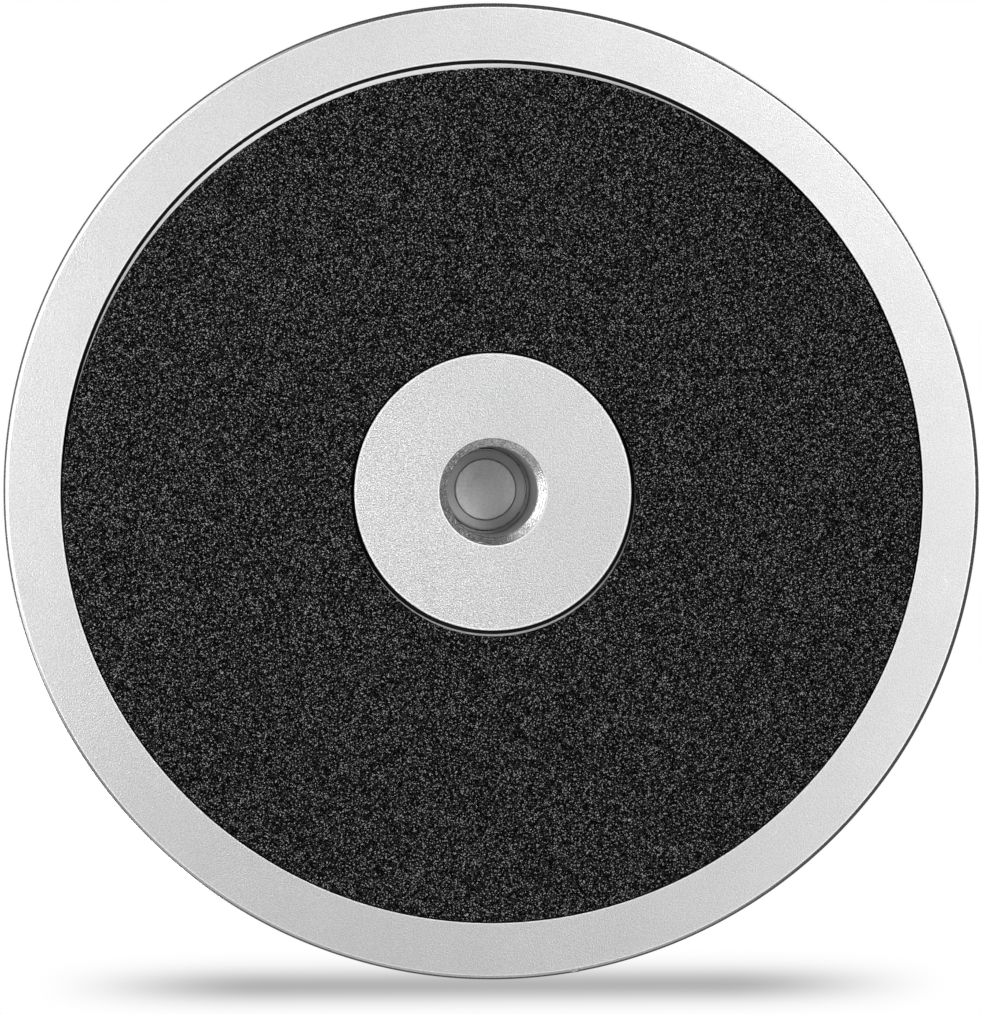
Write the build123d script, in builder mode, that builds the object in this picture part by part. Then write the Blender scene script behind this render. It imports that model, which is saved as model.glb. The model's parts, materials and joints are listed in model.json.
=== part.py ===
from build123d import *
import os

# Banding wheel for pottery: an aluminium wheel head on a 12 mm spindle that turns in two 6001
# ball bearings, high in the hub of an aluminium base with a recessed foam foot pad.
#
# Millimetres. +Z is up and runs along the spindle. The origin is the centre of the foot pad's
# underside, so the wheel stands on Z = 0.

os.makedirs("parts", exist_ok=True)

# Both discs
DISC_R = 100.0
PLATE_T = 8.0
RIM_CHAMFER = 0.65
DEBURR = 0.1

# Foot pad, and the film that holds it. The pad was laid slightly off centre.
PAD_T = 2.0
PAD_R = 88.0
PAD_HOLE_R = 29.15
PAD_SHIFT_Y = -0.1
PAD_PROUD = 0.6
ADHESIVE_T = 0.2
ADHESIVE_R = 87.85
ADHESIVE_HOLE_R = 30.0

# Base: plate, hub, and the recess that leaves a boss standing round the bore
BASE_LOW = PAD_PROUD
BASE_TOP = BASE_LOW + PLATE_T
RECESS_R = 88.3
RECESS_FLOOR = PAD_T + ADHESIVE_T
BOSS_R = 28.45
HUB_R = 28.0
HUB_TOP = 55.5
HUB_ROOT_FILLET = 4.0
HUB_TOP_CHAMFER = 0.8
BORE_R = 9.3
BORE_CHAMFER = 1.7
STAKING_RELIEF_R = 10.5
STAKING_RELIEF_LOW = 32.0
POCKET_LOW = 34.0

# 6001 bearings, 12 x 28 x 8, one above the other
BEARING_BORE_R = 6.0
BEARING_OUTER_R = 14.0
BEARING_W = 8.0
SEAT_CLEARANCE = 0.02
SPIGOT_CLEARANCE = 0.06
INNER_SHOULDER_R = 8.5
OUTER_SHOULDER_R = 11.6
RING_CHAMFER = 0.3
PITCH_R = 10.0
BALL_R = 2.381
BALL_COUNT = 8
GROOVE_R = 2.45
CAGE_IN_R = 9.0
CAGE_OUT_R = 11.0
CAGE_LOW = -2.8
CAGE_HEIGHT = 4.1
CAGE_POCKET_R = 2.5
SHIELD_SEAT_R = 12.2
SHIELD_SEAT_DEPTH = 0.9
SHIELD_IN_R = 8.75
SHIELD_OUT_R = 12.15
SHIELD_T = 0.5
SHIELD_DISH = 0.2
SHIELD_DISH_IN_R = 9.5
SHIELD_DISH_OUT_R = 11.4
SPACER_H = 2.0
OUTER_SPACER_IN_R = 11.8
OUTER_SPACER_OUT_R = BEARING_OUTER_R - SPIGOT_CLEARANCE
INNER_SPACER_OUT_R = 8.3

LOWER_BEARING_LOW = POCKET_LOW
SPACER_LOW = LOWER_BEARING_LOW + BEARING_W
UPPER_BEARING_LOW = SPACER_LOW + SPACER_H
UPPER_BEARING_TOP = UPPER_BEARING_LOW + BEARING_W

# Conical spring washer and internal circlip above the upper bearing
PRELOAD_H = 0.8
PRELOAD_T = 0.4
PRELOAD_IN_R = 11.9
PRELOAD_OUT_R = 13.8
CLIP_LOW = UPPER_BEARING_TOP + PRELOAD_H
CLIP_T = 1.2
CLIP_GROOVE_R = 14.7
CLIP_GROOVE_H = 1.3
CLIP_OUT_R = 14.65
CLIP_IN_R = 12.1
CLIP_ECCENTRICITY = 0.35
CLIP_LUG_R = 1.9
CLIP_LUG_PITCH_R = 11.7
CLIP_LUG_ANGLE = 16.0
CLIP_LUG_HOLE_R = 1.0
CLIP_GAP = 2.6

# Spindle with its flange, staked over a washer at the lower end
SPINDLE_R = BEARING_BORE_R - SEAT_CLEARANCE
SPINDLE_LOW = 32.4
STAKED_R = 6.5
STAKED_FILLET = 0.45
STAKE_RING_IN_R = 3.1
STAKE_RING_OUT_R = 3.7
STAKE_RING_DEPTH = 0.3
RELIEF_R = 5.8
RELIEF_H = 0.8
COLLAR_R = 8.25
FLANGE_LOW = 57.0
FLANGE_T = 4.0
FLANGE_R = 19.0
WASHER_T = 1.0
WASHER_OUT_R = 8.3

# Countersunk M4 screws that hold the flange to the wheel head
SCREW_COUNT = 4
SCREW_PITCH_R = 13.5
SCREW_R = 2.0
SCREW_HOLE_R = 2.25
SCREW_HEAD_R = 4.0
SCREW_HEAD_H = 2.0
SCREW_SINK_R = 4.1
SCREW_LENGTH = 8.0
SCREW_SOCKET_R = 1.44
SCREW_SOCKET_DEPTH = 1.3
TAPPED_CLEARANCE = 0.02
TAPPED_DEPTH = 4.5

# Wheel head
HEAD_LOW = 60.0
HEAD_TOP = HEAD_LOW + PLATE_T
HEAD_BOSS_LOW = 56.5
FLANGE_TOP = FLANGE_LOW + FLANGE_T
FLANGE_SEAT_R = FLANGE_R + SPIGOT_CLEARANCE
RING_GROOVE_FIRST_R = 12.0
RING_GROOVE_STEP = 11.0
RING_GROOVE_COUNT = 8
RING_GROOVE_W = 0.8
RING_GROOVE_DEPTH = 0.4
CENTRE_MARK_R = 1.2
CENTRE_MARK_DEPTH = 1.6

# Felt dust seal, in a groove in the wheel head's boss
FELT_IN_R = 20.6
FELT_OUT_R = 23.4
FELT_LOW = 55.9
FELT_TOP = 58.5


def save(piece, name):
    """Labels a finished piece and writes it as its own STEP file."""
    piece.label = name
    export_step(piece, f"parts/{name}.step")


def circles_of(piece, radius):
    """The piece's circular edges of one radius, lowest first."""
    round_edges = piece.edges().filter_by(GeomType.CIRCLE)
    return round_edges.filter_by(lambda edge: abs(edge.radius - radius) < 1e-4).sort_by(Axis.Z)


def flat_ring(name, inner_radius, outer_radius, low, height, edge_chamfer):
    """A turned ring, coaxial with the spindle, with all four of its edges broken."""
    with BuildPart() as ring:
        with BuildSketch(Plane.XY.offset(low)):
            Circle(outer_radius)
            Circle(inner_radius, mode=Mode.SUBTRACT)
        extrude(amount=height)
        chamfer(ring.edges().filter_by(GeomType.CIRCLE), edge_chamfer)
    save(ring.part, name)


def bearing_shield(name, low, dish_low):
    """A pressed steel shield. Its middle is dished on the side that faces out of the bearing."""
    with BuildPart() as shield:
        with BuildSketch(Plane.XY.offset(low)):
            Circle(SHIELD_OUT_R)
            Circle(SHIELD_IN_R, mode=Mode.SUBTRACT)
        extrude(amount=SHIELD_T)
        with BuildSketch(Plane.XY.offset(dish_low)):
            Circle(SHIELD_DISH_OUT_R)
            Circle(SHIELD_DISH_IN_R, mode=Mode.SUBTRACT)
        extrude(amount=SHIELD_DISH, mode=Mode.SUBTRACT)
    save(shield.part, name)


def ball_bearing(prefix, low):
    """A shielded 6001 deep-groove bearing, as separate rings, balls, cage and shields."""
    middle = low + BEARING_W / 2

    with BuildPart() as outer_ring:
        with BuildSketch(Plane.XZ):
            with Locations((OUTER_SHOULDER_R, low)):
                Rectangle(BEARING_OUTER_R - OUTER_SHOULDER_R, BEARING_W, align=(Align.MIN, Align.MIN))
            with Locations((PITCH_R, middle)):
                Circle(GROOVE_R, mode=Mode.SUBTRACT)
            for seat_low in (low, low + BEARING_W - SHIELD_SEAT_DEPTH):
                with Locations((OUTER_SHOULDER_R, seat_low)):
                    Rectangle(
                        SHIELD_SEAT_R - OUTER_SHOULDER_R,
                        SHIELD_SEAT_DEPTH,
                        align=(Align.MIN, Align.MIN),
                        mode=Mode.SUBTRACT,
                    )
        revolve(axis=Axis.Z)
        chamfer(circles_of(outer_ring, BEARING_OUTER_R), RING_CHAMFER)
    save(outer_ring.part, f"{prefix}_outer_ring")

    with BuildPart() as inner_ring:
        with BuildSketch(Plane.XZ):
            with Locations((BEARING_BORE_R, low)):
                Rectangle(INNER_SHOULDER_R - BEARING_BORE_R, BEARING_W, align=(Align.MIN, Align.MIN))
            with Locations((PITCH_R, middle)):
                Circle(GROOVE_R, mode=Mode.SUBTRACT)
        revolve(axis=Axis.Z)
        chamfer(circles_of(inner_ring, BEARING_BORE_R), RING_CHAMFER)
    save(inner_ring.part, f"{prefix}_inner_ring")

    with BuildPart(Plane.XY.offset(middle)) as balls:
        with PolarLocations(PITCH_R, BALL_COUNT):
            Sphere(BALL_R)
    save(balls.part, f"{prefix}_balls")

    # A snap-in crown cage: closed below the balls, open above them
    with BuildPart(Plane.XY.offset(middle)) as cage:
        with BuildSketch(Plane.XY.offset(middle + CAGE_LOW)):
            Circle(CAGE_OUT_R)
            Circle(CAGE_IN_R, mode=Mode.SUBTRACT)
        extrude(amount=CAGE_HEIGHT)
        with PolarLocations(PITCH_R, BALL_COUNT):
            Sphere(CAGE_POCKET_R, mode=Mode.SUBTRACT)
    save(cage.part, f"{prefix}_cage")

    # Each shield is pressed home against the inner end of its seat
    lower_shield_low = low + SHIELD_SEAT_DEPTH - SHIELD_T
    upper_shield_low = low + BEARING_W - SHIELD_SEAT_DEPTH
    bearing_shield(f"{prefix}_lower_shield", lower_shield_low, lower_shield_low)
    bearing_shield(f"{prefix}_upper_shield", upper_shield_low, upper_shield_low + SHIELD_T - SHIELD_DISH)


# --- Base -------------------------------------------------------------------------------------

with BuildPart() as base_body:
    with BuildSketch(Plane.XY.offset(BASE_LOW)):
        Circle(DISC_R)
    extrude(amount=PLATE_T)
    chamfer(circles_of(base_body, DISC_R), RIM_CHAMFER)
    with BuildSketch(Plane.XY.offset(BASE_TOP)):
        Circle(HUB_R)
    extrude(amount=HUB_TOP - BASE_TOP)
    fillet(circles_of(base_body, HUB_R)[0], HUB_ROOT_FILLET)
    chamfer(circles_of(base_body, HUB_R)[-1], HUB_TOP_CHAMFER)
    with BuildSketch(Plane.XY.offset(BASE_LOW)):
        Circle(RECESS_R)
        Circle(BOSS_R, mode=Mode.SUBTRACT)
    extrude(amount=RECESS_FLOOR - BASE_LOW, mode=Mode.SUBTRACT)
    chamfer(circles_of(base_body, RECESS_R)[0], DEBURR)
    chamfer(circles_of(base_body, BOSS_R)[0], DEBURR)
    with BuildSketch(Plane.XY.offset(BASE_LOW)):
        Circle(BORE_R)
    extrude(amount=HUB_TOP - BASE_LOW, mode=Mode.SUBTRACT)
    chamfer(circles_of(base_body, BORE_R)[0], BORE_CHAMFER)
    with BuildSketch(Plane.XY.offset(STAKING_RELIEF_LOW)):
        Circle(STAKING_RELIEF_R)
    extrude(amount=POCKET_LOW - STAKING_RELIEF_LOW, mode=Mode.SUBTRACT)
    with BuildSketch(Plane.XY.offset(POCKET_LOW)):
        Circle(BEARING_OUTER_R + SEAT_CLEARANCE)
    extrude(amount=HUB_TOP - POCKET_LOW, mode=Mode.SUBTRACT)
    with BuildSketch(Plane.XY.offset(CLIP_LOW)):
        Circle(CLIP_GROOVE_R)
    extrude(amount=CLIP_GROOVE_H, mode=Mode.SUBTRACT)
save(base_body.part, "base_body")

with BuildPart() as pad_adhesive:
    with BuildSketch(Plane.XY.offset(PAD_T)):
        Circle(ADHESIVE_R)
        Circle(ADHESIVE_HOLE_R, mode=Mode.SUBTRACT)
    extrude(amount=ADHESIVE_T)
save(pad_adhesive.part, "pad_adhesive")

with BuildPart() as foot_pad:
    with BuildSketch(Plane.XY):
        with Locations((0, PAD_SHIFT_Y)):
            Circle(PAD_R)
            Circle(PAD_HOLE_R, mode=Mode.SUBTRACT)
    extrude(amount=PAD_T)
save(foot_pad.part, "foot_pad")

# --- Bearings and what holds them -------------------------------------------------------------

ball_bearing("lower_bearing", LOWER_BEARING_LOW)
ball_bearing("upper_bearing", UPPER_BEARING_LOW)
flat_ring("bearing_outer_spacer", OUTER_SPACER_IN_R, OUTER_SPACER_OUT_R, SPACER_LOW, SPACER_H, DEBURR)
flat_ring("bearing_inner_spacer", BEARING_BORE_R, INNER_SPACER_OUT_R, SPACER_LOW, SPACER_H, DEBURR)

# The cone's wide edge presses on the outer ring, and its narrow edge bears on the circlip
with BuildPart() as preload_washer:
    with BuildSketch(Plane.XZ):
        with BuildLine():
            Polyline(
                (PRELOAD_OUT_R, UPPER_BEARING_TOP),
                (PRELOAD_OUT_R, UPPER_BEARING_TOP + PRELOAD_T),
                (PRELOAD_IN_R, CLIP_LOW),
                (PRELOAD_IN_R, CLIP_LOW - PRELOAD_T),
                close=True,
            )
        make_face()
    revolve(axis=Axis.Z)
save(preload_washer.part, "preload_washer")

# The inner edge is eccentric, so that the ring is deepest opposite its gap
with BuildPart() as hub_circlip:
    with BuildSketch(Plane.XY.offset(CLIP_LOW)):
        Circle(CLIP_OUT_R)
        with Locations((0, -CLIP_ECCENTRICITY)):
            Circle(CLIP_IN_R, mode=Mode.SUBTRACT)
        with PolarLocations(CLIP_LUG_PITCH_R, 2, -90 - CLIP_LUG_ANGLE, 2 * CLIP_LUG_ANGLE, endpoint=True):
            Circle(CLIP_LUG_R)
        with PolarLocations(CLIP_LUG_PITCH_R, 2, -90 - CLIP_LUG_ANGLE, 2 * CLIP_LUG_ANGLE, endpoint=True):
            Circle(CLIP_LUG_HOLE_R, mode=Mode.SUBTRACT)
        Rectangle(CLIP_GAP, 2 * CLIP_OUT_R, align=(Align.CENTER, Align.MAX), mode=Mode.SUBTRACT)
    extrude(amount=CLIP_T)
save(hub_circlip.part, "hub_circlip")

# --- Spindle and its fasteners ----------------------------------------------------------------

with BuildPart() as spindle:
    with BuildSketch(Plane.XY.offset(SPINDLE_LOW)):
        Circle(SPINDLE_R)
    extrude(amount=FLANGE_LOW - SPINDLE_LOW)
    # The metal that staking has spread over the washer
    with BuildSketch(Plane.XY.offset(SPINDLE_LOW)):
        Circle(STAKED_R)
    extrude(amount=LOWER_BEARING_LOW - WASHER_T - SPINDLE_LOW)
    fillet(circles_of(spindle, STAKED_R)[0], STAKED_FILLET)
    with BuildSketch(Plane.XY.offset(UPPER_BEARING_TOP)):
        Circle(COLLAR_R)
    extrude(amount=FLANGE_LOW - UPPER_BEARING_TOP)
    with BuildSketch(Plane.XY.offset(UPPER_BEARING_TOP - RELIEF_H)):
        Circle(SPINDLE_R)
        Circle(RELIEF_R, mode=Mode.SUBTRACT)
    extrude(amount=RELIEF_H, mode=Mode.SUBTRACT)
    with BuildSketch(Plane.XY.offset(FLANGE_LOW)):
        Circle(FLANGE_R)
    extrude(amount=FLANGE_T)
    chamfer(circles_of(spindle, FLANGE_R), RING_CHAMFER)
    # The ring that the staking tool leaves in the lower end face
    with BuildSketch(Plane.XY.offset(SPINDLE_LOW)):
        Circle(STAKE_RING_OUT_R)
        Circle(STAKE_RING_IN_R, mode=Mode.SUBTRACT)
    extrude(amount=STAKE_RING_DEPTH, mode=Mode.SUBTRACT)
    with Locations(Plane(origin=(0, 0, FLANGE_LOW), z_dir=(0, 0, -1))):
        with PolarLocations(SCREW_PITCH_R, SCREW_COUNT):
            CounterSinkHole(SCREW_HOLE_R, SCREW_SINK_R, depth=FLANGE_T)
save(spindle.part, "spindle")

flat_ring(
    "spindle_retaining_washer",
    BEARING_BORE_R,
    WASHER_OUT_R,
    LOWER_BEARING_LOW - WASHER_T,
    WASHER_T,
    DEBURR,
)

with BuildPart(Plane.XY.offset(FLANGE_LOW)) as spindle_flange_screws:
    with PolarLocations(SCREW_PITCH_R, SCREW_COUNT):
        Cone(SCREW_HEAD_R, SCREW_R, SCREW_HEAD_H, align=(Align.CENTER, Align.CENTER, Align.MIN))
        Cylinder(SCREW_R, SCREW_LENGTH, align=(Align.CENTER, Align.CENTER, Align.MIN))
    with BuildSketch(Plane.XY.offset(FLANGE_LOW)):
        with PolarLocations(SCREW_PITCH_R, SCREW_COUNT):
            RegularPolygon(SCREW_SOCKET_R, 6)
    extrude(amount=SCREW_SOCKET_DEPTH, mode=Mode.SUBTRACT)
save(spindle_flange_screws.part, "spindle_flange_screws")

# --- Wheel head -------------------------------------------------------------------------------

with BuildPart() as wheel_head:
    with BuildSketch(Plane.XY.offset(HEAD_LOW)):
        Circle(DISC_R)
    extrude(amount=PLATE_T)
    chamfer(circles_of(wheel_head, DISC_R), RIM_CHAMFER)
    with BuildSketch(Plane.XY.offset(HEAD_BOSS_LOW)):
        Circle(BOSS_R)
    extrude(amount=HEAD_LOW - HEAD_BOSS_LOW)
    chamfer(circles_of(wheel_head, BOSS_R)[0], HUB_TOP_CHAMFER)
    with BuildSketch(Plane.XY.offset(HEAD_BOSS_LOW)):
        Circle(FLANGE_SEAT_R)
    extrude(amount=FLANGE_TOP - HEAD_BOSS_LOW, mode=Mode.SUBTRACT)
    with BuildSketch(Plane.XY.offset(HEAD_BOSS_LOW)):
        Circle(FELT_OUT_R + SPIGOT_CLEARANCE)
        Circle(FELT_IN_R - SPIGOT_CLEARANCE, mode=Mode.SUBTRACT)
    extrude(amount=FELT_TOP - HEAD_BOSS_LOW, mode=Mode.SUBTRACT)
    with BuildSketch(Plane.XY.offset(FLANGE_TOP)):
        with PolarLocations(SCREW_PITCH_R, SCREW_COUNT):
            Circle(SCREW_R + TAPPED_CLEARANCE)
    extrude(amount=TAPPED_DEPTH, mode=Mode.SUBTRACT)
    # Turned rings for centring the work
    for index in range(RING_GROOVE_COUNT):
        groove_r = RING_GROOVE_FIRST_R + index * RING_GROOVE_STEP
        with BuildSketch(Plane.XY.offset(HEAD_TOP)):
            Circle(groove_r + RING_GROOVE_W / 2)
            Circle(groove_r - RING_GROOVE_W / 2, mode=Mode.SUBTRACT)
        extrude(amount=-RING_GROOVE_DEPTH, mode=Mode.SUBTRACT)
    # The centre drill's mark
    with BuildSketch(Plane.XZ):
        with BuildLine():
            Polyline(
                (0, HEAD_TOP - CENTRE_MARK_DEPTH),
                (CENTRE_MARK_R, HEAD_TOP),
                (0, HEAD_TOP),
                close=True,
            )
        make_face()
    revolve(axis=Axis.Z, mode=Mode.SUBTRACT)
save(wheel_head.part, "wheel_head")

with BuildPart() as dust_seal:
    with BuildSketch(Plane.XY.offset(FELT_LOW)):
        Circle(FELT_OUT_R)
        Circle(FELT_IN_R, mode=Mode.SUBTRACT)
    extrude(amount=FELT_TOP - FELT_LOW)
save(dust_seal.part, "dust_seal")
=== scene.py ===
import bpy
import json
import math
from mathutils import Matrix, Vector, noise


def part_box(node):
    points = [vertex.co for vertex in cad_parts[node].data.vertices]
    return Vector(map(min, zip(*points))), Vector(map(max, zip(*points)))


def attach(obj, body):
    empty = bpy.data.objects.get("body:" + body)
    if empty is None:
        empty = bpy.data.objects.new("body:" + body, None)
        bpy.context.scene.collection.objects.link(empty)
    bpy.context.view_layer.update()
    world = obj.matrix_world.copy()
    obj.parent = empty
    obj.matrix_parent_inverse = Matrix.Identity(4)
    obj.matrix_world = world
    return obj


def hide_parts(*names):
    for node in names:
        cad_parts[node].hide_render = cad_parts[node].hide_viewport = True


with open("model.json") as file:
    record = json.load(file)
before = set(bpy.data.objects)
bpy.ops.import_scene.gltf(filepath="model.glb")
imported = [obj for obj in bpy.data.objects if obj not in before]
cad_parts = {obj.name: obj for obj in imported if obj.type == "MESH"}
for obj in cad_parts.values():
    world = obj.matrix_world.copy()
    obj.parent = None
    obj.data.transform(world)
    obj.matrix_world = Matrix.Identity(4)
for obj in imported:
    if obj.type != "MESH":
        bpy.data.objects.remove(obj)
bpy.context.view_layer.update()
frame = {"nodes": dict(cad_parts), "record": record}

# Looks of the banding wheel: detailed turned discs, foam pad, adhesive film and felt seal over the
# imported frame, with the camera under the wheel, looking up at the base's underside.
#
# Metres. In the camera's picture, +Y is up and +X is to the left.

MM = 0.001
TINY = 1e-7

# Heights and radii from the frame
BASE_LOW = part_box("base_body")[0].z
HUB_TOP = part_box("base_body")[1].z
DISC_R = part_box("base_body")[1].x
PAD_LOW, PAD_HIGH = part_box("foot_pad")
FILM_LOW, FILM_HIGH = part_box("pad_adhesive")
HEAD_BOSS_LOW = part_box("wheel_head")[0].z
HEAD_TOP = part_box("wheel_head")[1].z
FELT_LOW, FELT_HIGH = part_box("dust_seal")
POCKET_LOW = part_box("lower_bearing_outer_ring")[0].z
CLIP_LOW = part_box("hub_circlip")[0].z
FLANGE_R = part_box("spindle")[1].x
FLANGE_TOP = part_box("spindle")[1].z

# Turned details of both discs, and of the hub and bore between them
PLATE_T = 8.0 * MM
RIM_CHAMFER = 0.80 * MM
DEBURR = 0.1 * MM
RECESS_R = 88.3 * MM
BOSS_R = 28.45 * MM
RECESS_FLOOR = FILM_HIGH.z
NOSE_R = 0.75 * MM
FILM_HOLE_R = 30.1 * MM
HUB_R = 28.0 * MM
HUB_ROOT_FILLET = 4.0 * MM
HUB_TOP_CHAMFER = 0.8 * MM
BORE_R = 9.3 * MM
BORE_CHAMFER = 1.7 * MM
RELIEF_R = 10.5 * MM
RELIEF_DEPTH = 2.0 * MM
RELIEF_LOW = POCKET_LOW - RELIEF_DEPTH
POCKET_R = 14.02 * MM
CLIP_GROOVE_R = 14.7 * MM
CLIP_GROOVE_H = 1.3 * MM
EDGE_R = 0.06 * MM
RIM_EDGE_R = 0.44 * MM

# How meshes are made
SEGMENTS = 600
CROWDING = 0.6
HOLD = 0.12 * MM
LONG_STRETCH = 6 * HOLD
SOFTENED_TURN = math.radians(25)
SOFTENED_SHARE = 0.4
SMOOTH_ANGLE = 35
SOFT_SMOOTH_ANGLE = 60


# --- Mesh helpers -----------------------------------------------------------------------------

def arc(centre, radius, start, end, steps):
    """Points of a profile arc; angles in degrees, 0 outward, 90 up."""
    points = []
    for step in range(steps + 1):
        angle = math.radians(start + (end - start) * step / steps)
        points.append((centre[0] + radius * math.cos(angle), centre[1] + radius * math.sin(angle)))
    return points


def incline(start, end, steps):
    """Evenly spaced points of a straight profile stretch."""
    points = []
    for step in range(steps + 1):
        t = step / steps
        points.append((start[0] + (end[0] - start[0]) * t, start[1] + (end[1] - start[1]) * t))
    return points


def soften(points, radius, closed=True, steps=2):
    """Breaks each sharp corner of a profile with a small round that starts that far from it."""
    made = []
    count = len(points)
    for index, point in enumerate(points):
        if not closed and index in (0, count - 1):
            made.append(point)
            continue
        here = Vector(point)
        before = Vector(points[index - 1]) - here
        after = Vector(points[(index + 1) % count]) - here
        turn = math.pi - before.angle(after)
        reach = min(radius, before.length * SOFTENED_SHARE, after.length * SOFTENED_SHARE)
        if turn < SOFTENED_TURN or reach < TINY:
            made.append(point)
            continue
        first = here + before.normalized() * reach
        last = here + after.normalized() * reach
        for step in range(steps + 1):
            t = step / steps
            blend = first * (1 - t) ** 2 + here * 2 * t * (1 - t) + last * t * t
            made.append((blend.x, blend.y))
    return made


def rim_profile(low):
    """The chamfered rim of a disc that starts at that height, with the chamfers' outer edges eased."""
    high = low + PLATE_T
    corners = [(DISC_R - RIM_CHAMFER, low), (DISC_R, low + RIM_CHAMFER)]
    corners += [(DISC_R, high - RIM_CHAMFER), (DISC_R - RIM_CHAMFER, high)]
    return soften(corners, RIM_EDGE_R, closed=False, steps=5)


def hold(points, closed=True):
    """Adds a point near both ends of each long straight stretch, so that its shading stays flat."""
    made = []
    for index, point in enumerate(points):
        made.append(point)
        if index == len(points) - 1 and not closed:
            break
        here, after = Vector(point), Vector(points[(index + 1) % len(points)])
        if (after - here).length > LONG_STRETCH:
            way = (after - here).normalized() * HOLD
            made += [tuple(here + way), tuple(after - way)]
    return made


def finish_mesh(name, verts, faces, smooth_angle=SMOOTH_ANGLE):
    """A linked object with smooth shading up to that angle in degrees."""
    mesh = bpy.data.meshes.new(name)
    mesh.from_pydata(verts, [], faces)
    mesh.validate()
    mesh.update()
    mesh.shade_smooth()
    mesh.set_sharp_from_angle(angle=math.radians(smooth_angle))
    piece = bpy.data.objects.new(name, mesh)
    bpy.context.scene.collection.objects.link(piece)
    return piece


def ring_faces(row_count, segments, closed=True):
    """Quads between neighbouring rows of a turned mesh whose rows all have that many points."""
    faces = []
    for row in range(row_count if closed else row_count - 1):
        low, high = row * segments, ((row + 1) % row_count) * segments
        for segment in range(segments):
            after = (segment + 1) % segments
            faces.append((low + segment, low + after, high + after, high + segment))
    return faces


def lathe(name, profile, segments=SEGMENTS, shape=None, smooth_angle=SMOOTH_ANGLE,
          centre=(0.0, 0.0), crowd=None):
    """Turns a profile of (radius, height) points about a vertical axis. It runs outward along the
    bottom, up, and back along the top. shape(r, z, angle) may move a point. A profile that starts
    and ends on the axis is capped there; any other is closed on itself. The segments are narrower
    near the angle crowd."""
    on_axis = profile[0][0] < TINY
    rings = profile[1:-1] if on_axis else profile
    verts = []
    for radius, height in rings:
        for segment in range(segments):
            angle = 2 * math.pi * segment / segments
            if crowd is not None:
                angle -= CROWDING * math.sin(angle - crowd)
            r, z = shape(radius, height, angle) if shape else (radius, height)
            verts.append((centre[0] + r * math.cos(angle), centre[1] + r * math.sin(angle), z))
    faces = ring_faces(len(rings), segments, closed=not on_axis)
    if on_axis:
        first, last = len(verts), len(verts) + 1
        verts += [(*centre, profile[0][1]), (*centre, profile[-1][1])]
        top_row = (len(rings) - 1) * segments
        for segment in range(segments):
            after = (segment + 1) % segments
            faces.append((first, after, segment))
            faces.append((top_row + segment, top_row + after, last))
    return finish_mesh(name, verts, faces, smooth_angle)


def finish_faces(piece, finish):
    """Gives each face the material that finish(radius, height, slope) says, by its place among the
    piece's own, which are set first; slope is 1 on a level face and 0 on an upright one."""
    for face in piece.data.polygons:
        middle = face.center
        face.material_index = finish(math.hypot(middle.x, middle.y), middle.z, abs(face.normal.z))


# --- Material helpers -------------------------------------------------------------------------

class Nodes:
    """Short calls for the nodes used here, in one node tree."""

    def __init__(self, tree, place="Object"):
        self.tree = tree
        self.tree.nodes.clear()
        self.place = self.add("TexCoord").outputs[place]

    def add(self, kind, **settings):
        node = self.tree.nodes.new("ShaderNode" + kind)
        for key, value in settings.items():
            setattr(node, key, value)
        return node

    def link(self, source, target):
        """Feeds a socket from another one, or sets it to a number or a colour."""
        if isinstance(source, (int, float)):
            is_plain = target.type == "VALUE"
            target.default_value = source if is_plain else (source, source, source, 1.0)
        elif isinstance(source, tuple):
            target.default_value = (*source, 1.0)
        else:
            self.tree.links.new(source, target)

    def noise(self, size, detail=2.0, roughness=0.5, place=None):
        """Noise with features of about that size."""
        node = self.add("TexNoise")
        node.inputs["Scale"].default_value = 1.0 / size
        node.inputs["Detail"].default_value = detail
        node.inputs["Roughness"].default_value = roughness
        self.link(place or self.place, node.inputs["Vector"])
        return node.outputs["Fac"]

    def cells(self, size, feature="F1", output="Distance"):
        node = self.add("TexVoronoi", feature=feature)
        node.inputs["Scale"].default_value = 1.0 / size
        self.link(self.place, node.inputs["Vector"])
        return node.outputs[output]

    def ramp(self, source, stops):
        """A colour ramp; each stop is (position, grey) or (position, (r, g, b))."""
        node = self.add("ValToRGB")
        elements = node.color_ramp.elements
        while len(elements) < len(stops):
            elements.new(0.5)
        for element, (position, colour) in zip(elements, stops):
            element.position = position
            rgb = colour if isinstance(colour, tuple) else (colour,) * 3
            element.color = (*rgb, 1.0)
        self.link(source, node.inputs["Fac"])
        return node.outputs["Color"]

    def span(self, source, low, high, to_low=0.0, to_high=1.0, smooth=False):
        """Carries low..high over to to_low..to_high, and holds it there outside."""
        node = self.add("MapRange", interpolation_type="SMOOTHSTEP" if smooth else "LINEAR")
        for key, value in zip(("From Min", "From Max", "To Min", "To Max"), (low, high, to_low, to_high)):
            node.inputs[key].default_value = value
        self.link(source, node.inputs["Value"])
        return node.outputs["Result"]

    def maths(self, operation, first, second=None):
        node = self.add("Math", operation=operation)
        self.link(first, node.inputs[0])
        if second is not None:
            self.link(second, node.inputs[1])
        return node.outputs[0]

    def mix(self, factor, first, second, blend="MIX"):
        node = self.add("Mix", data_type="RGBA", blend_type=blend)
        for key, value in zip((0, 6, 7), (factor, first, second)):
            self.link(value, node.inputs[key])
        return node.outputs[2]

    def split(self, source, kind="XYZ"):
        """The three parts of a vector or a colour."""
        node = self.add("Separate" + kind)
        self.link(source, node.inputs[0])
        return node.outputs

    def vector(self, operation, first, second=None, output="Vector"):
        node = self.add("VectorMath", operation=operation)
        self.tree.links.new(first, node.inputs[0])
        if second is not None:
            node.inputs[1].default_value = second
        return node.outputs[output]

    def axis_distance(self):
        """Distance from the spindle axis."""
        return self.vector("LENGTH", self.vector("MULTIPLY", self.place, (1, 1, 0)), output="Value")


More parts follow.
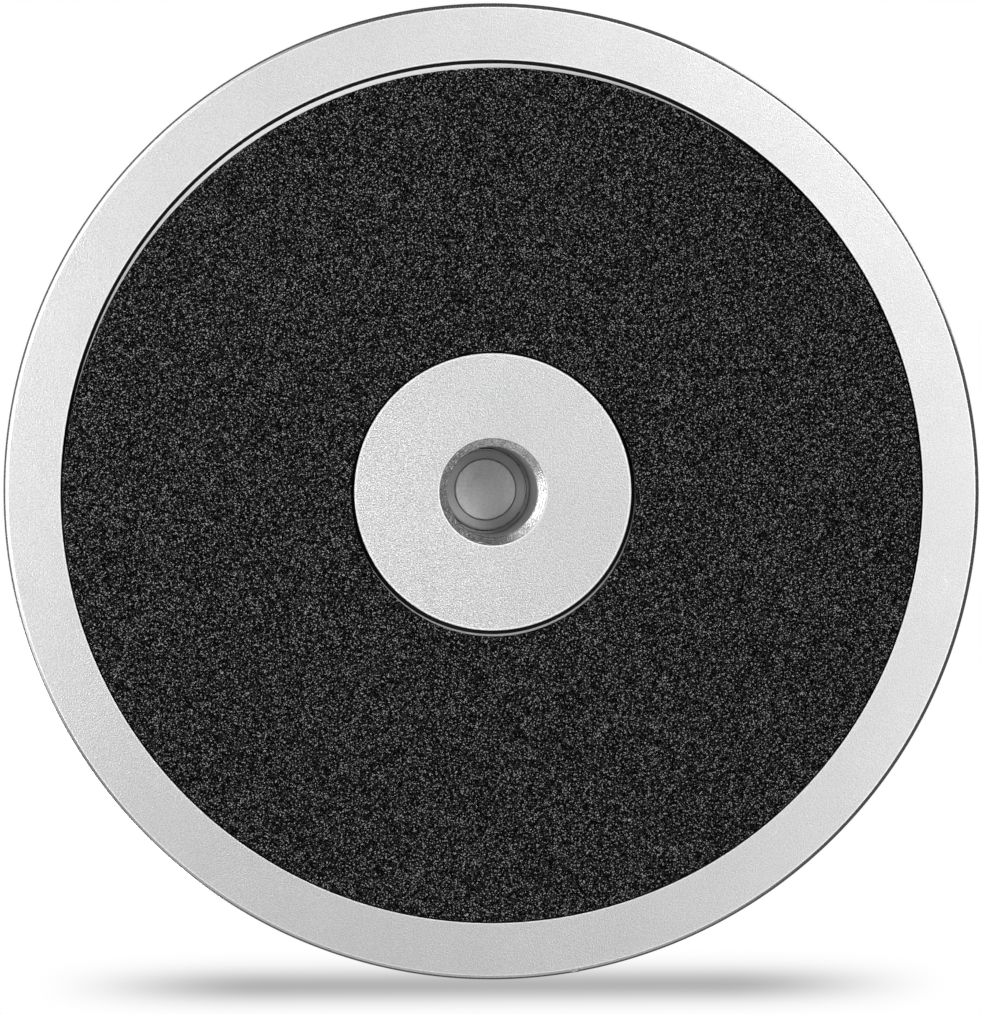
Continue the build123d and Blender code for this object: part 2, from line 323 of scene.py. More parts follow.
class Surface(Nodes):
    """A material with one Principled shader."""

    def __init__(self, name):
        self.material = bpy.data.materials.new(name)
        self.material.use_nodes = True
        super().__init__(self.material.node_tree)
        self.shader = self.add("BsdfPrincipled")
        self.link(self.shader.outputs["BSDF"], self.add("OutputMaterial").inputs["Surface"])

    def set(self, **values):
        """Sets the shader's own sockets, or feeds them."""
        for key, value in values.items():
            self.link(value, self.shader.inputs[key.replace("_", " ")])

    def bump(self, height, distance, strength=1.0, under=None):
        """Bump of that depth, over another bump if one is given."""
        node = self.add("Bump")
        node.inputs["Distance"].default_value = distance
        node.inputs["Strength"].default_value = strength
        self.link(height, node.inputs["Height"])
        if under is not None:
            self.link(under, node.inputs["Normal"])
        return node.outputs["Normal"]


# --- Materials --------------------------------------------------------------------------------

def blasted_aluminium(name="blasted_aluminium", highlighted_edges=()):
    """Bead-blasted and clear-anodised aluminium: fine pits, made plainer on one side as painted lighting
    and plainer toward the rim, faint clouds, a few hairline scratches, and painted highlights along
    edges of the underside. Each highlighted edge is (radius, how bright, whether only on its low side)."""
    m = Surface(name)
    pits = m.noise(PIT_SIZE, detail=1.0, roughness=0.60)
    cloud = m.noise(CLOUD_SIZE, detail=3.0)
    contour = m.maths("ABSOLUTE", m.maths("SUBTRACT", m.noise(SCRATCH_BEND, detail=1.0), 0.5))
    hair = m.span(contour, 0.0, SCRATCH_WIDTH, 1.0, 0.0)
    patches = m.span(m.noise(SCRATCH_LENGTH), 0.60, 0.66)
    bright = m.maths("MULTIPLY", hair, patches)
    underside = m.span(m.split(m.place)[2], BASE_LOW + DEBURR, BASE_LOW + 2 * DEBURR, 1.0, 0.0)
    level = m.vector("NORMALIZE", m.vector("MULTIPLY", m.place, (1, 1, 0)))
    side = m.vector("DOT_PRODUCT", level, PAINTED_LIGHT_WAY, "Value")
    # Painted highlights: a bright line just inside each listed edge of the underside, where light catches
    # the edge; the one round the bore mouth only on its low side, where the light catches it
    for radius, strength, one_side in highlighted_edges:
        away = m.maths("ABSOLUTE", m.maths("SUBTRACT", m.axis_distance(), radius))
        painted_highlight = m.maths("MULTIPLY", m.span(away, PAINTED_HIGHLIGHT_FULL, PAINTED_HIGHLIGHT_GONE, strength, 0.0), underside)
        if one_side:
            low_side = m.vector("DOT_PRODUCT", level, LOW_WAY, "Value")
            painted_highlight = m.maths("MULTIPLY", painted_highlight, m.span(low_side, *LOW_SIDE_EDGE, 0.0, 1.0, True))
        bright = m.maths("MAXIMUM", bright, painted_highlight)
    # Painted lighting: the pits are made plainer on one side, as the light makes them look there, and
    # plainer toward the rim
    contrast = m.span(side, *PAINTED_LIGHT_EDGE, PIT_FAINTEST, 1.0, True)
    contrast = m.maths("MULTIPLY", contrast, m.span(m.axis_distance(), BOSS_R, RECESS_R, 1.0, PIT_OUTER))
    tone = m.mix(contrast, PIT_MIDDLE, m.ramp(pits, PIT_TONES))
    veiled = m.mix(1.0, tone, m.ramp(cloud, [(0.35, 0.97), (0.65, 1.0)]), "MULTIPLY")
    m.set(Base_Color=m.mix(bright, veiled, SCRATCH_AND_HIGHLIGHT_TONE))
    m.set(Roughness=m.span(pits, 0.3, 0.7, 0.46, 0.38))
    m.set(Normal=m.bump(m.maths("MULTIPLY", pits, contrast), PIT_DEPTH), Metallic=1.0)
    return m.material


def turned_aluminium(name, tones, grain_size, grain_depth):
    """Bright turned aluminium on the cut edges: tool lines round the axis, broken by chatter."""
    m = Surface(name)
    grain = m.noise(grain_size, detail=2.0)
    chatter = m.maths("MULTIPLY", m.noise(CHATTER_SIZE), CHATTER_DEPTH)
    across = m.maths("ADD", m.axis_distance(), chatter)
    lines = m.maths("SINE", m.maths("MULTIPLY", across, 2 * math.pi / TURNED_PITCH))
    m.set(Base_Color=m.ramp(grain, [(0.35, tones[0]), (0.65, tones[1])]))
    m.set(Roughness=m.span(grain, 0.3, 0.7, 0.30, 0.20))
    under = m.bump(lines, TURNED_DEPTH)
    m.set(Normal=m.bump(grain, grain_depth, 1.0, under), Metallic=1.0)
    return m.material


def granular_foam():
    """Black bonded foam of fine grains, a few of them light, over a slightly uneven skin."""
    m = Surface("granular_foam")
    pick = m.split(m.cells(GRAIN_SIZE, output="Color"), "Color")
    grains = m.ramp(pick[0], GRAIN_TONES)
    clumps = m.ramp(m.noise(CLUMP_SIZE, detail=3.0), [(0.30, 0.92), (0.70, 1.04)])
    m.set(Base_Color=m.mix(1.0, grains, clumps, "MULTIPLY"))
    under = m.bump(m.noise(SKIN_SIZE, detail=2.0), SKIN_DEPTH, 0.6)
    m.set(Normal=m.bump(m.cells(GRAIN_SIZE), GRAIN_DEPTH, 0.8, under))
    m.set(Roughness=0.9, Specular_IOR_Level=0.05)
    return m.material


def white_film():
    """White double-sided adhesive film."""
    m = Surface("white_film")
    m.set(Base_Color=m.ramp(m.noise(FILM_PATCH, detail=3.0), [(0.3, 0.95), (0.6, 1.0)]))
    m.set(Normal=m.bump(m.noise(FILM_RIPPLE_SIZE), FILM_RIPPLE_DEPTH), Roughness=0.5)
    return m.material


def steel(name, dark, light, rough_low, rough_high):
    """Steel with fine turning marks round the spindle axis."""
    m = Surface(name)
    grain = m.noise(STEEL_GRAIN, detail=2.0)
    rings = m.maths("SINE", m.maths("MULTIPLY", m.axis_distance(), 2 * math.pi / STEEL_PITCH))
    m.set(Base_Color=m.ramp(grain, [(0.3, dark), (0.7, light)]))
    m.set(Roughness=m.span(grain, 0.3, 0.7, rough_high, rough_low))
    m.set(Normal=m.bump(rings, STEEL_DEPTH, 0.5), Metallic=1.0)
    return m.material


def grained(name, dark, light, roughness, grain_size, depth, **more):
    """Moulded, coated or fibrous surface with a fine grain."""
    m = Surface(name)
    grain = m.noise(grain_size, detail=3.0)
    m.set(Base_Color=m.ramp(grain, [(0.35, dark), (0.65, light)]))
    rough = m.span(grain, 0.3, 0.7, roughness + 0.05, roughness - 0.05)
    m.set(Normal=m.bump(grain, depth), Roughness=rough)
    m.set(**more)
    return m.material


# Blasted aluminium: pits, clouds, scratches and painted edge highlights, the pits made plainer on one side
# as painted lighting; each edge pair is a span of cosines
PIT_SIZE = 0.28 * MM
PIT_DEPTH = 0.10 * MM
PIT_TONES = [(0.30, 0.42), (0.50, 0.66), (0.70, 0.90)]
PIT_MIDDLE = 0.72
PIT_FAINTEST = 0.55
PIT_OUTER = 0.5
CLOUD_SIZE = 16.0 * MM
SCRATCH_BEND = 14.0 * MM
SCRATCH_LENGTH = 7.0 * MM
SCRATCH_WIDTH = 0.0022
# Painted lighting: the level direction toward which the pits are made plainer, and its span of cosines
PAINTED_LIGHT_WAY = (0.90, -0.43, 0.0)
PAINTED_LIGHT_EDGE = (-0.8, 0.8)
LOW_WAY = (0.0, -1.0, 0.0)
LOW_SIDE_EDGE = (-0.6, 0.0)
# Tone of the scratches and of the painted edge highlights; distances from its edge at which a painted
# highlight is full and gone
SCRATCH_AND_HIGHLIGHT_TONE = 0.97
PAINTED_HIGHLIGHT_FULL = 0.08 * MM
PAINTED_HIGHLIGHT_GONE = 0.20 * MM

# Tool lines of the turned aluminium and steel
TURNED_PITCH = 0.50 * MM
TURNED_DEPTH = 0.012 * MM
CHATTER_SIZE = 0.9 * MM
CHATTER_DEPTH = 0.10 * MM
STEEL_GRAIN = 0.5 * MM
STEEL_PITCH = 0.35 * MM
STEEL_DEPTH = 0.003 * MM

# Foam and film
GRAIN_SIZE = 0.18 * MM
GRAIN_DEPTH = 0.05 * MM
GRAIN_TONES = [(0.0, 0.0), (0.46, 0.0), (0.66, 0.007), (0.87, 0.040), (1.0, 0.38)]
CLUMP_SIZE = 1.6 * MM
SKIN_SIZE = 0.7 * MM
SKIN_DEPTH = 0.04 * MM
FILM_PATCH = 1.2 * MM
FILM_RIPPLE_SIZE = 0.5 * MM
FILM_RIPPLE_DEPTH = 0.02 * MM

NYLON_DARK = (0.66, 0.61, 0.48)
NYLON_LIGHT = (0.76, 0.72, 0.60)
SLOT_MATERIALS = {
    "machined_aluminium": blasted_aluminium(),
    "pad_foam": granular_foam(),
    "adhesive_film": white_film(),
    "bearing_steel": steel("bearing_steel", 0.50, 0.62, 0.14, 0.20),
    "turned_steel": steel("turned_steel", 0.76, 0.86, 0.48, 0.56),
    "shield_steel": steel("shield_steel", 0.36, 0.44, 0.30, 0.38),
    "spring_steel": grained("spring_steel", 0.42, 0.50, 0.45, 0.3 * MM, 0.01 * MM, Metallic=1.0),
    "screw_steel": grained("screw_steel", 0.03, 0.06, 0.40, 0.3 * MM, 0.01 * MM, Metallic=1.0),
    "cage_nylon": grained("cage_nylon", NYLON_DARK, NYLON_LIGHT, 0.45, 0.5 * MM, 0.01 * MM),
    "felt": grained("felt", 0.045, 0.10, 0.95, 0.25 * MM, 0.10 * MM, Sheen_Weight=0.4),
}
TURNED_ALUMINIUM = turned_aluminium("turned_aluminium", (0.78, 0.90), 0.30 * MM, 0.008 * MM)
TURNED_MOUTH = turned_aluminium("turned_mouth", (0.44, 0.98), 0.38 * MM, 0.08 * MM)
# Painted shade: darker dull aluminium on the bore wall and the strip round the boss, and near-black in the
# recess's corners
DULL_ALUMINIUM_PAINTED_SHADE = grained("dull_aluminium_painted_shade", 0.58, 0.70, 0.44, 0.3 * MM, 0.02 * MM, Metallic=1.0)
PAINTED_CORNER_SHADE = grained("painted_corner_shade", 0.012, 0.032, 0.90, 0.4 * MM, 0.02 * MM, Specular_IOR_Level=0.05)


def cover(piece, *materials):
    """Gives a piece, or a CAD node, these materials in place of any that it has."""
    piece.data.materials.clear()
    for material in materials:
        piece.data.materials.append(material)


def stand_for(piece, node, slot, body, *materials):
    """Finishes a detailed piece: its materials, the CAD node that it replaces and its body."""
    cover(piece, *(materials or [SLOT_MATERIALS[slot]]))
    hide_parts(node)
    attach(piece, body)


for part in frame["record"]["subparts"]:
    cover(frame["nodes"][part["node"]], SLOT_MATERIALS[part["material_slot"]])


# --- Base -------------------------------------------------------------------------------------

CHAMFER_ROWS = 32
CHAMFER_PITCH = 0.60 * MM
CHAMFER_RIPPLE = 0.08 * MM
CHAMFER_FADE = 8
FLAT_SLOPE = 0.95
MOUTH_R = BORE_R + BORE_CHAMFER
BURR_ANGLE = math.radians(260.2)
BURR_WIDTH = 0.9 * MM
BURR_FILL = 0.8
BURR_REACH = 1.6 * RIM_CHAMFER
# How far inside each edge its painted highlight lies
PAINTED_HIGHLIGHT_INSET = 0.12 * MM
BOSS_PAINTED_HIGHLIGHT_INSET = 0.34 * MM


def base_profile():
    """The base's turned section, from the boss outward and back down through the bore."""
    plate_top = BASE_LOW + PLATE_T
    groove_high = CLIP_LOW + CLIP_GROOVE_H
    low = [(BOSS_R - DEBURR, BASE_LOW), (BOSS_R, BASE_LOW + DEBURR)]
    low += arc((BOSS_R + NOSE_R, RECESS_FLOOR - NOSE_R), NOSE_R, 180, 90, 6)
    low += [(FILM_HOLE_R, RECESS_FLOOR)]
    low += arc((RECESS_R - NOSE_R, RECESS_FLOOR - NOSE_R), NOSE_R, 90, 0, 6)
    low += [(RECESS_R, BASE_LOW + DEBURR), (RECESS_R + DEBURR, BASE_LOW)]
    low += rim_profile(BASE_LOW)
    high = arc((HUB_R + HUB_ROOT_FILLET, plate_top + HUB_ROOT_FILLET), HUB_ROOT_FILLET, 270, 180, 8)
    high += [(HUB_R, HUB_TOP - HUB_TOP_CHAMFER), (HUB_R - HUB_TOP_CHAMFER, HUB_TOP), (POCKET_R, HUB_TOP)]
    high += [(POCKET_R, groove_high), (CLIP_GROOVE_R, groove_high)]
    high += [(CLIP_GROOVE_R, CLIP_LOW), (POCKET_R, CLIP_LOW), (POCKET_R, POCKET_LOW)]
    high += [(RELIEF_R, POCKET_LOW), (RELIEF_R, RELIEF_LOW), (BORE_R, RELIEF_LOW)]
    mouth = incline((BORE_R, BASE_LOW + BORE_CHAMFER), (MOUTH_R, BASE_LOW), CHAMFER_ROWS)
    return hold(soften(low + high, EDGE_R, closed=False) + mouth)


def tool_marks(radius, height, angle):
    """Cuts fine spiral tool marks into the bore's chamfer, and leaves one burr in the rim's."""
    along = (radius - BORE_R) / BORE_CHAMFER
    if 0 < along < 1 and abs(height - BASE_LOW - BORE_CHAMFER * (1 - along)) < 10 * TINY:
        turns = along * BORE_CHAMFER / CHAMFER_PITCH * math.sqrt(2) + angle / (2 * math.pi)
        fade = min(1.0, along * CHAMFER_FADE, (1 - along) * CHAMFER_FADE)
        depth = CHAMFER_RIPPLE * (turns % 1.0 - 0.5) * fade
        return radius + depth * math.sqrt(0.5), height + depth * math.sqrt(0.5)
    if radius > DISC_R - RIM_CHAMFER and height < BASE_LOW + BURR_REACH:
        away = DISC_R * (angle - BURR_ANGLE) / BURR_WIDTH
        height -= BURR_FILL * max(0.0, 1 - away * away) * (height - BASE_LOW)
    return radius, height


def base_finish(radius, height, slope):
    """0 blasted, 1 bright rim chamfers, 2 dull aluminium darkened as painted shade on the bore wall and
    the bare strip round the boss, 3 near-black painted shade in the corners of the recess, 4 bore mouth."""
    if radius > DISC_R - RIM_CHAMFER and slope < FLAT_SLOPE:
        return 1
    if radius < MOUTH_R and height < RELIEF_LOW:
        # Bore wall: rougher aluminium, darkened as painted shade
        return 4 if height < BASE_LOW + BORE_CHAMFER else 2
    if BASE_LOW + DEBURR < height < RECESS_FLOOR + EDGE_R and BOSS_R - HOLD < radius < RECESS_R + HOLD:
        # The recess's corners take painted shade
        if radius < BOSS_R + NOSE_R or radius > RECESS_R - NOSE_R:
            return 3
        # Strip round the boss: darkened as painted shade
        return 2 if radius < FILM_HOLE_R else 0
    return 0


# Painted highlights along edges of the underside: radius, brightness, and whether only on the low side
PAINTED_HIGHLIGHT_EDGES = (
    (MOUTH_R + PAINTED_HIGHLIGHT_INSET, 1.0, True),
    (BOSS_R - BOSS_PAINTED_HIGHLIGHT_INSET, 0.8, False),
    (RECESS_R + DEBURR + PAINTED_HIGHLIGHT_INSET, 0.7, False),
    (DISC_R - RIM_CHAMFER - PAINTED_HIGHLIGHT_INSET, 0.7, False),
)
UNDERSIDE = blasted_aluminium("blasted_underside", PAINTED_HIGHLIGHT_EDGES)
BASE_MATERIALS = (UNDERSIDE, TURNED_ALUMINIUM, DULL_ALUMINIUM_PAINTED_SHADE, PAINTED_CORNER_SHADE, TURNED_MOUTH)
base = lathe("base_casting", base_profile(), shape=tool_marks, crowd=BURR_ANGLE)
stand_for(base, "base_body", "machined_aluminium", "base", *BASE_MATERIALS)
finish_faces(base, base_finish)


# --- Wheel head -------------------------------------------------------------------------------

SEAT_CLEARANCE = 0.06 * MM
FLANGE_SEAT_R = FLANGE_R + SEAT_CLEARANCE
FELT_IN_R = 20.6 * MM
FELT_GROOVE_IN_R = FELT_IN_R - SEAT_CLEARANCE
FELT_GROOVE_OUT_R = FELT_HIGH.x + SEAT_CLEARANCE
RING_FIRST_R = 12.0 * MM
RING_STEP = 11.0 * MM
RING_COUNT = 8
RING_W = 0.8 * MM
CENTRE_MARK_R = 1.2 * MM
CENTRE_MARK_DEPTH = 1.6 * MM
HEAD_SEGMENTS = 500
LEVEL_SLOPE = 0.985


def head_profile():
    """The wheel head's turned section: flange seat, boss, underside, rim, guide rings, centre mark."""
    head_low = HEAD_TOP - PLATE_T
    points = [(0.0, FLANGE_TOP), (FLANGE_SEAT_R, FLANGE_TOP), (FLANGE_SEAT_R, HEAD_BOSS_LOW)]
    points += [(FELT_GROOVE_IN_R, HEAD_BOSS_LOW), (FELT_GROOVE_IN_R, FELT_HIGH.z)]
    points += [(FELT_GROOVE_OUT_R, FELT_HIGH.z), (FELT_GROOVE_OUT_R, HEAD_BOSS_LOW)]
    points += [(BOSS_R - HUB_TOP_CHAMFER, HEAD_BOSS_LOW), (BOSS_R, HEAD_BOSS_LOW + HUB_TOP_CHAMFER)]
    points += [(BOSS_R, head_low)]
    points += rim_profile(head_low)
    for index in reversed(range(RING_COUNT)):
        points += arc((RING_FIRST_R + index * RING_STEP, HEAD_TOP), RING_W / 2, 360, 180, 8)
    points += [(CENTRE_MARK_R, HEAD_TOP), (0.0, HEAD_TOP - CENTRE_MARK_DEPTH)]
    return hold(soften(points, EDGE_R, closed=False), closed=False)


def head_finish(radius, height, slope):
    """0 blasted, 1 bright rim chamfers, guide rings and centre mark."""
    on_rim = radius > DISC_R - RIM_CHAMFER and slope < FLAT_SLOPE
    on_top = height > HEAD_TOP - CENTRE_MARK_DEPTH and radius < DISC_R - RIM_CHAMFER
    in_ring = on_top and slope < LEVEL_SLOPE
    return 1 if on_rim or in_ring else 0


head = lathe("wheel_head_disc", head_profile(), HEAD_SEGMENTS)
HEAD_MATERIALS = (SLOT_MATERIALS["machined_aluminium"], TURNED_ALUMINIUM)
stand_for(head, "wheel_head", "machined_aluminium", "wheel", *HEAD_MATERIALS)
finish_faces(head, head_finish)


# --- Foot pad, its film and the felt seal -----------------------------------------------------

PAD_SEGMENTS = 880
PAD_RINGS = 104
PAD_CENTRE = (PAD_LOW + PAD_HIGH) / 2
PAD_OUT_R = (PAD_HIGH.x - PAD_LOW.x) / 2
PAD_IN_R = 29.15 * MM
PAD_EDGE_R = 0.18 * MM
PAD_GRAIN = 0.05 * MM
PAD_GRAIN_PER_M = 1300
PAD_FINE_GRAIN_PER_M = 2900
PAD_FINE_GRAIN = 0.6
RAGGED_DEPTH = 0.06 * MM
RAGGED_PER_M = 700
EDGE_BAND = 5.0 * MM
TORN_ANGLE = 84.5
TORN_SPREAD = 6.0
TORN_DEPTH = 0.55 * MM
TORN_PER_M = 1900
SHORT_ANGLE = 70.0
SHORT_SPREAD = 68.0
SHORT_BY = 1.20 * MM
HOLE_SHIFT = 0.35 * MM
HOLE_SHIFT_ANGLE = math.radians(250)


def pad_profile():
    """Inner edge, a fine grid across the underside, outer edge, and the flat stuck face."""
    low, high = PAD_LOW.z, PAD_HIGH.z
    rows = [(PAD_IN_R, high - PAD_EDGE_R), (PAD_IN_R, low + PAD_EDGE_R)]
    for ring in range(PAD_RINGS + 1):
        width = PAD_OUT_R - PAD_IN_R - PAD_EDGE_R
        rows.append((PAD_IN_R + PAD_EDGE_R / 2 + width * ring / PAD_RINGS, low))
    rows += [(PAD_OUT_R, low + PAD_EDGE_R), (PAD_OUT_R, high - PAD_EDGE_R)]
    rows += [(PAD_OUT_R - PAD_EDGE_R, high), (PAD_IN_R + PAD_EDGE_R, high)]
    return rows


def foam(radius, height, angle):
    """Grain on the pad's underside, and cut edges that wander: the outer one cut short along one
    stretch and torn within it, the inner one a little to one side."""
    at = Vector((math.cos(angle), math.sin(angle), 0)) * radius
    if height == PAD_LOW.z:
        grain = noise.noise(at * PAD_GRAIN_PER_M) + PAD_FINE_GRAIN * noise.noise(at * PAD_FINE_GRAIN_PER_M)
        height += PAD_GRAIN * (0.5 + 0.5 * max(-1.0, min(1.0, grain)))
    near = max(0.0, 1 - min(radius - PAD_IN_R, PAD_OUT_R - radius) / EDGE_BAND)
    ragged = abs(noise.noise(at * RAGGED_PER_M)) * RAGGED_DEPTH
    if radius < (PAD_IN_R + PAD_OUT_R) / 2:
        return radius + near * (ragged + HOLE_SHIFT * math.cos(angle - HOLE_SHIFT_ANGLE)), height
    turn = math.degrees(angle)
    from_short = min(abs(turn - SHORT_ANGLE), abs(turn - 360 - SHORT_ANGLE))
    short = SHORT_BY * max(0.0, 1 - (from_short / SHORT_SPREAD) ** 2)
    tear = max(0.0, 1 - abs(turn - TORN_ANGLE) / TORN_SPREAD)
    ragged += max(0.0, noise.noise(at * TORN_PER_M)) * TORN_DEPTH * tear
    return radius - near * (ragged + short), height


pad = lathe("foam_pad", pad_profile(), PAD_SEGMENTS, foam, SOFT_SMOOTH_ANGLE, PAD_CENTRE.xy)
stand_for(pad, "foot_pad", "pad_foam", "base")


FILM_INSET = 0.18 * MM
FILM_WANDER = 0.08 * MM
FILM_WAVES = 9
FILM_WAVE_PLACE = 0.3


def die_cut(radius, height, angle):
    """The film's edges wander a little, inward of the CAD film's."""
    at = Vector((math.cos(angle), math.sin(angle), FILM_WAVE_PLACE)) * FILM_WAVES
    return radius - abs(noise.noise(at)) * FILM_WANDER - FILM_INSET, height


def square_ring(inner, outer, low, high, steps):
    """The section of a square-edged ring, with that many steps across and a few up."""
    points = [(inner + (outer - inner) * step / steps, low) for step in range(steps + 1)]
    points += [(outer, (low + high) / 2)]
    points += [(outer - (outer - inner) * step / steps, high) for step in range(steps + 1)]
    return points + [(inner, (low + high) / 2)]


film_section = square_ring(FILM_HOLE_R, FILM_HIGH.x, FILM_LOW.z, FILM_HIGH.z, 2)
film = lathe("film_ring", film_section, shape=die_cut)
stand_for(film, "pad_adhesive", "adhesive_film", "base")


FELT_SEGMENTS = 360
FUZZ_DEPTH = 0.04
FUZZ_PER_M = 1600


def fuzz(radius, height, angle):
    """Felt's uneven nap, inside the CAD seal's section."""
    at = Vector((radius * math.cos(angle), radius * math.sin(angle), height))
    middle_r, middle_z = (FELT_IN_R + FELT_HIGH.x) / 2, (FELT_LOW.z + FELT_HIGH.z) / 2
    shrink = 1 - FUZZ_DEPTH * (1 + noise.noise(at * FUZZ_PER_M))
    return middle_r + (radius - middle_r) * shrink, middle_z + (height - middle_z) * shrink


felt_section = square_ring(FELT_IN_R, FELT_HIGH.x, FELT_LOW.z, FELT_HIGH.z, 8)
felt = lathe("felt_ring", felt_section, FELT_SEGMENTS, fuzz, SOFT_SMOOTH_ANGLE)
stand_for(felt, "dust_seal", "felt", "wheel")


# --- Camera -----------------------------------------------------------------------------------

FOCAL_MM = 260.2
CAMERA_DISTANCE = 1.500
LEAN_LEFT = math.radians(2.8)
LEAN_UP = math.radians(0.9)
SENSOR_MM = 36.0
SHIFT_ACROSS = -0.0024
SHIFT_DOWN = -0.0149


def studio_camera():
    """Under the wheel and a little to the picture's upper left."""
    data = bpy.data.cameras.new("camera")
    data.lens = FOCAL_MM
    data.sensor_width = SENSOR_MM
    data.shift_x, data.shift_y = SHIFT_ACROSS, SHIFT_DOWN
    data.clip_start, data.clip_end = 0.01, 50.0
    camera = bpy.data.objects.new("camera", data)
    bpy.context.scene.collection.objects.link(camera)
    back = Vector((math.sin(LEAN_LEFT), math.sin(LEAN_UP), 0))
    back.z = -math.sqrt(1 - back.length_squared)
    right = Vector((0, 1, 0)).cross(back).normalized()
    turn = Matrix((right, back.cross(right), back)).transposed()
    camera.location = Vector((0, 0, BASE_LOW)) + back * CAMERA_DISTANCE
    camera.rotation_euler = turn.to_euler()
    bpy.context.scene.camera = camera
    return camera


# --- Lights -----------------------------------------------------------------------------------

# Place, size and watts. The first four are below, for the underside; the last two light the top.
AREA_LIGHTS = {
    "under_right": ((-0.247, 0.247, -0.606), 0.35, 1.33),
    "under_left": ((0.297, 0.052, -0.334), 0.25, 1.01),
    "under_foot": ((-0.240, -0.139, -0.355), 0.25, 0.31),
    "under_corner": ((0.194, -0.231, -0.334), 0.25, 0.12),
    "top_key": ((0.9, -0.7, 1.1), 0.8, 8.5),
    "top_fill": ((-1.0, 0.8, 0.9), 1.0, 4.0),
}
LIGHT_TARGET = Vector((0, 0, 10 * MM))

# Strengths of the surroundings as the wheel sees them, the level directions of the two brighter
# sides, and where each part fades in: cosines from those directions, or the height of a unit vector
TENT = 0.30
HORIZON = 0.07
HORIZON_LEFT = 1.30
HORIZON_BELOW = 0.42
SKY = 0.75
LEFT_WAY = (0.94, 0.34, 0.0)
BELOW_WAY = (0.14, -0.99, 0.0)
LEFT_EDGE = (0.55, 0.88)
BELOW_EDGE = (0.60, 0.95)
TENT_EDGE = (-0.60, -0.32)
HORIZON_EDGE = (0.05, 0.15)
SKY_EDGE = (0.84, 0.98)


def area_light(name, place, size, watts):
    data = bpy.data.lights.new(name, "AREA")
    data.size = size
    data.energy = watts
    light = bpy.data.objects.new(name, data)
    light.visible_camera = False
    bpy.context.scene.collection.objects.link(light)
    light.location = place
    light.rotation_euler = (LIGHT_TARGET - light.location).to_track_quat("-Z", "Y").to_euler()


def surroundings():
    """White to the camera. To the wheel: a light tent below, a dark horizon with a bright side to the
    picture's left and a grey one at its foot, and a pale sky overhead."""
    scene_world = bpy.data.worlds.new("studio")
    bpy.context.scene.world = scene_world
    scene_world.use_nodes = True
    w = Nodes(scene_world.node_tree, "Generated")
    height = w.split(w.place)[2]
    level = w.vector("NORMALIZE", w.vector("MULTIPLY", w.place, (1, 1, 0)))
    left_way = w.vector("DOT_PRODUCT", level, LEFT_WAY, "Value")
    below_way = w.vector("DOT_PRODUCT", level, BELOW_WAY, "Value")
    left = w.span(left_way, *LEFT_EDGE, 0.0, HORIZON_LEFT, True)
    below = w.span(below_way, *BELOW_EDGE, 0.0, HORIZON_BELOW, True)
    horizon = w.maths("ADD", w.maths("ADD", left, below), HORIZON)
    lower = w.mix(w.span(height, *TENT_EDGE, 1.0, 0.0, True), horizon, TENT)
    overhead = w.mix(w.span(height, *HORIZON_EDGE, 0.0, 1.0, True), lower, HORIZON)
    whole = w.mix(w.span(height, *SKY_EDGE, 0.0, 1.0, True), overhead, SKY)
    lit = w.add("Background")
    w.link(whole, lit.inputs["Color"])
    seen = w.add("Background")
    w.link((1.0, 1.0, 1.0), seen.inputs["Color"])
    chosen = w.add("MixShader")
    w.link(w.add("LightPath").outputs["Is Camera Ray"], chosen.inputs["Fac"])
    w.link(lit.outputs["Background"], chosen.inputs[1])
    w.link(seen.outputs["Background"], chosen.inputs[2])
    w.link(chosen.outputs["Shader"], w.add("OutputWorld").inputs["Surface"])


# --- Stage ------------------------------------------------------------------------------------

FLOOR_HALF = 6.0
FLOOR_TONE = 0.86
SHADOW_HEIGHT = HEAD_TOP + 0.5 * MM
SHADOW_HALF = (115.0 * MM, 14.0 * MM)
SHADOW_DROP = 101.1 * MM
SHADOW_SIGMA = 2.4 * MM
SHADOW_FULL = 46.0 * MM
SHADOW_GONE = 96.0 * MM
SHADOW_DEPTH = 0.54


def stage_card(name, corners):
    """A card that only the camera sees."""
    card = finish_mesh(name, corners, [(0, 1, 2, 3)])
    for ray in ("diffuse", "glossy", "transmission", "shadow"):
        setattr(card, f"visible_{ray}", False)
    return card


def one_sided(m, front, back):
    """A surface with one shader in front and another behind."""
    sides = m.add("MixShader")
    m.link(m.add("NewGeometry").outputs["Backfacing"], sides.inputs["Fac"])
    m.link(front.outputs["BSDF"], sides.inputs[1])
    m.link(back.outputs["BSDF"], sides.inputs[2])
    m.link(sides.outputs["Shader"], m.add("OutputMaterial").inputs["Surface"])


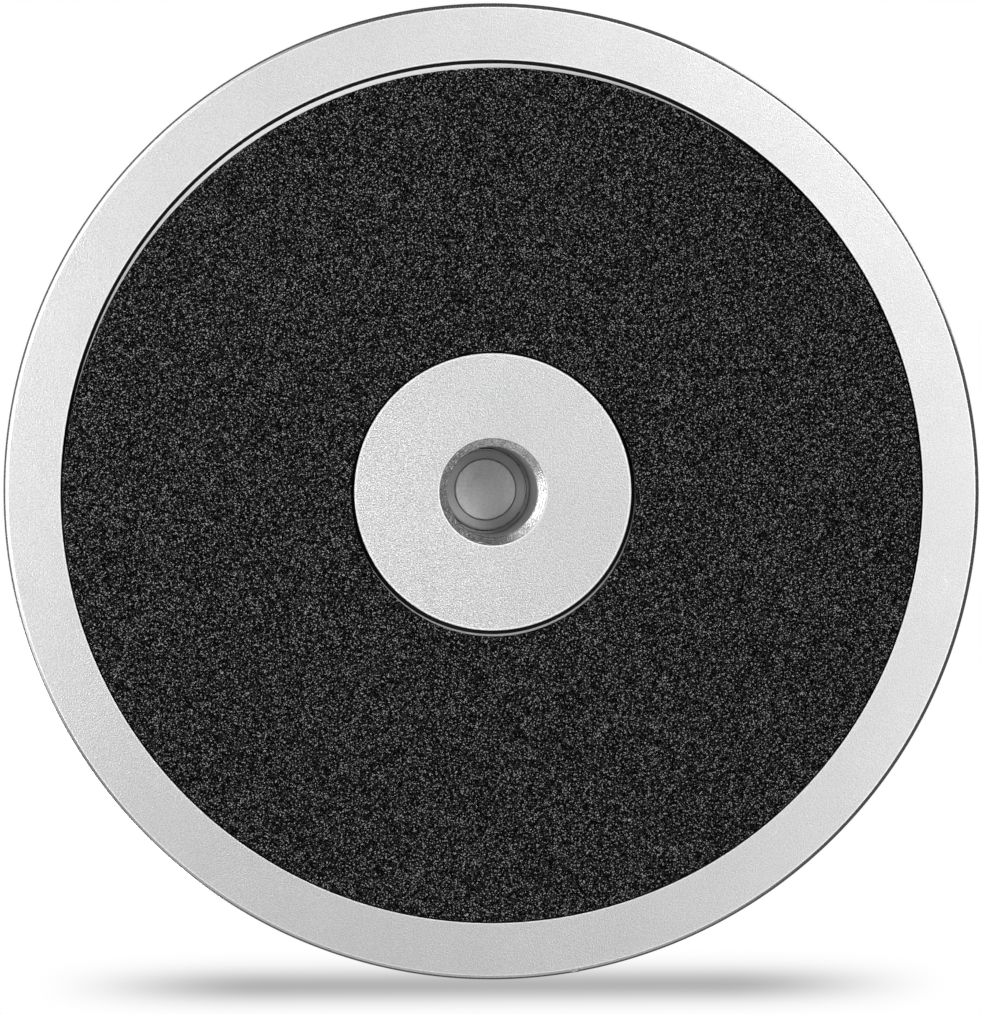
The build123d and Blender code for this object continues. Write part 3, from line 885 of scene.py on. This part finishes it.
def stage_material(name):
    material = bpy.data.materials.new(name)
    material.use_nodes = True
    return material, Nodes(material.node_tree)


def stage_floor():
    """A pale floor that shows only from above."""
    far = FLOOR_HALF
    floor = stage_card("stage_floor", [(-far, -far, 0), (far, -far, 0), (far, far, 0), (-far, far, 0)])
    material, m = stage_material("stage_floor")
    paint = m.add("BsdfDiffuse")
    m.link(FLOOR_TONE, paint.inputs["Color"])
    one_sided(m, paint, m.add("BsdfTransparent"))
    floor.data.materials.append(material)


def drop_shadow(camera):
    """A soft bar of shade behind the wheel's lowest edge in the picture, seen only from below."""
    eye = camera.location
    foot = Vector((0, -SHADOW_DROP, BASE_LOW))
    middle = eye + (foot - eye) * (SHADOW_HEIGHT - eye.z) / (foot.z - eye.z)
    scale = (SHADOW_HEIGHT - eye.z) / (BASE_LOW - eye.z)
    wide, tall = SHADOW_HALF[0] * scale, SHADOW_HALF[1] * scale
    corners = []
    for across, up in ((-1, 1), (1, 1), (1, -1), (-1, -1)):
        corners.append((middle.x + across * wide, middle.y + up * tall, SHADOW_HEIGHT))
    card = stage_card("stage_drop_shadow", corners)
    material, m = stage_material("stage_drop_shadow")
    x, y, _ = m.split(m.place)
    from_line = m.maths("DIVIDE", m.maths("SUBTRACT", y, middle.y), SHADOW_SIGMA * scale)
    bell = m.maths("EXPONENT", m.maths("MULTIPLY", m.maths("MULTIPLY", from_line, from_line), -0.5))
    aside = m.maths("ABSOLUTE", m.maths("SUBTRACT", x, middle.x))
    length = m.span(aside, SHADOW_FULL * scale, SHADOW_GONE * scale, SHADOW_DEPTH, 0.0, True)
    shade = m.add("BsdfTransparent")
    m.link(m.mix(m.maths("MULTIPLY", bell, length), 1.0, 0.0), shade.inputs["Color"])
    one_sided(m, shade, m.add("BsdfTransparent"))
    card.data.materials.append(material)


bpy.context.scene.view_settings.view_transform = "Standard"
stage_floor()
drop_shadow(studio_camera())
surroundings()
for light_name, (light_place, light_size, light_watts) in AREA_LIGHTS.items():
    area_light(light_name, light_place, light_size, light_watts)
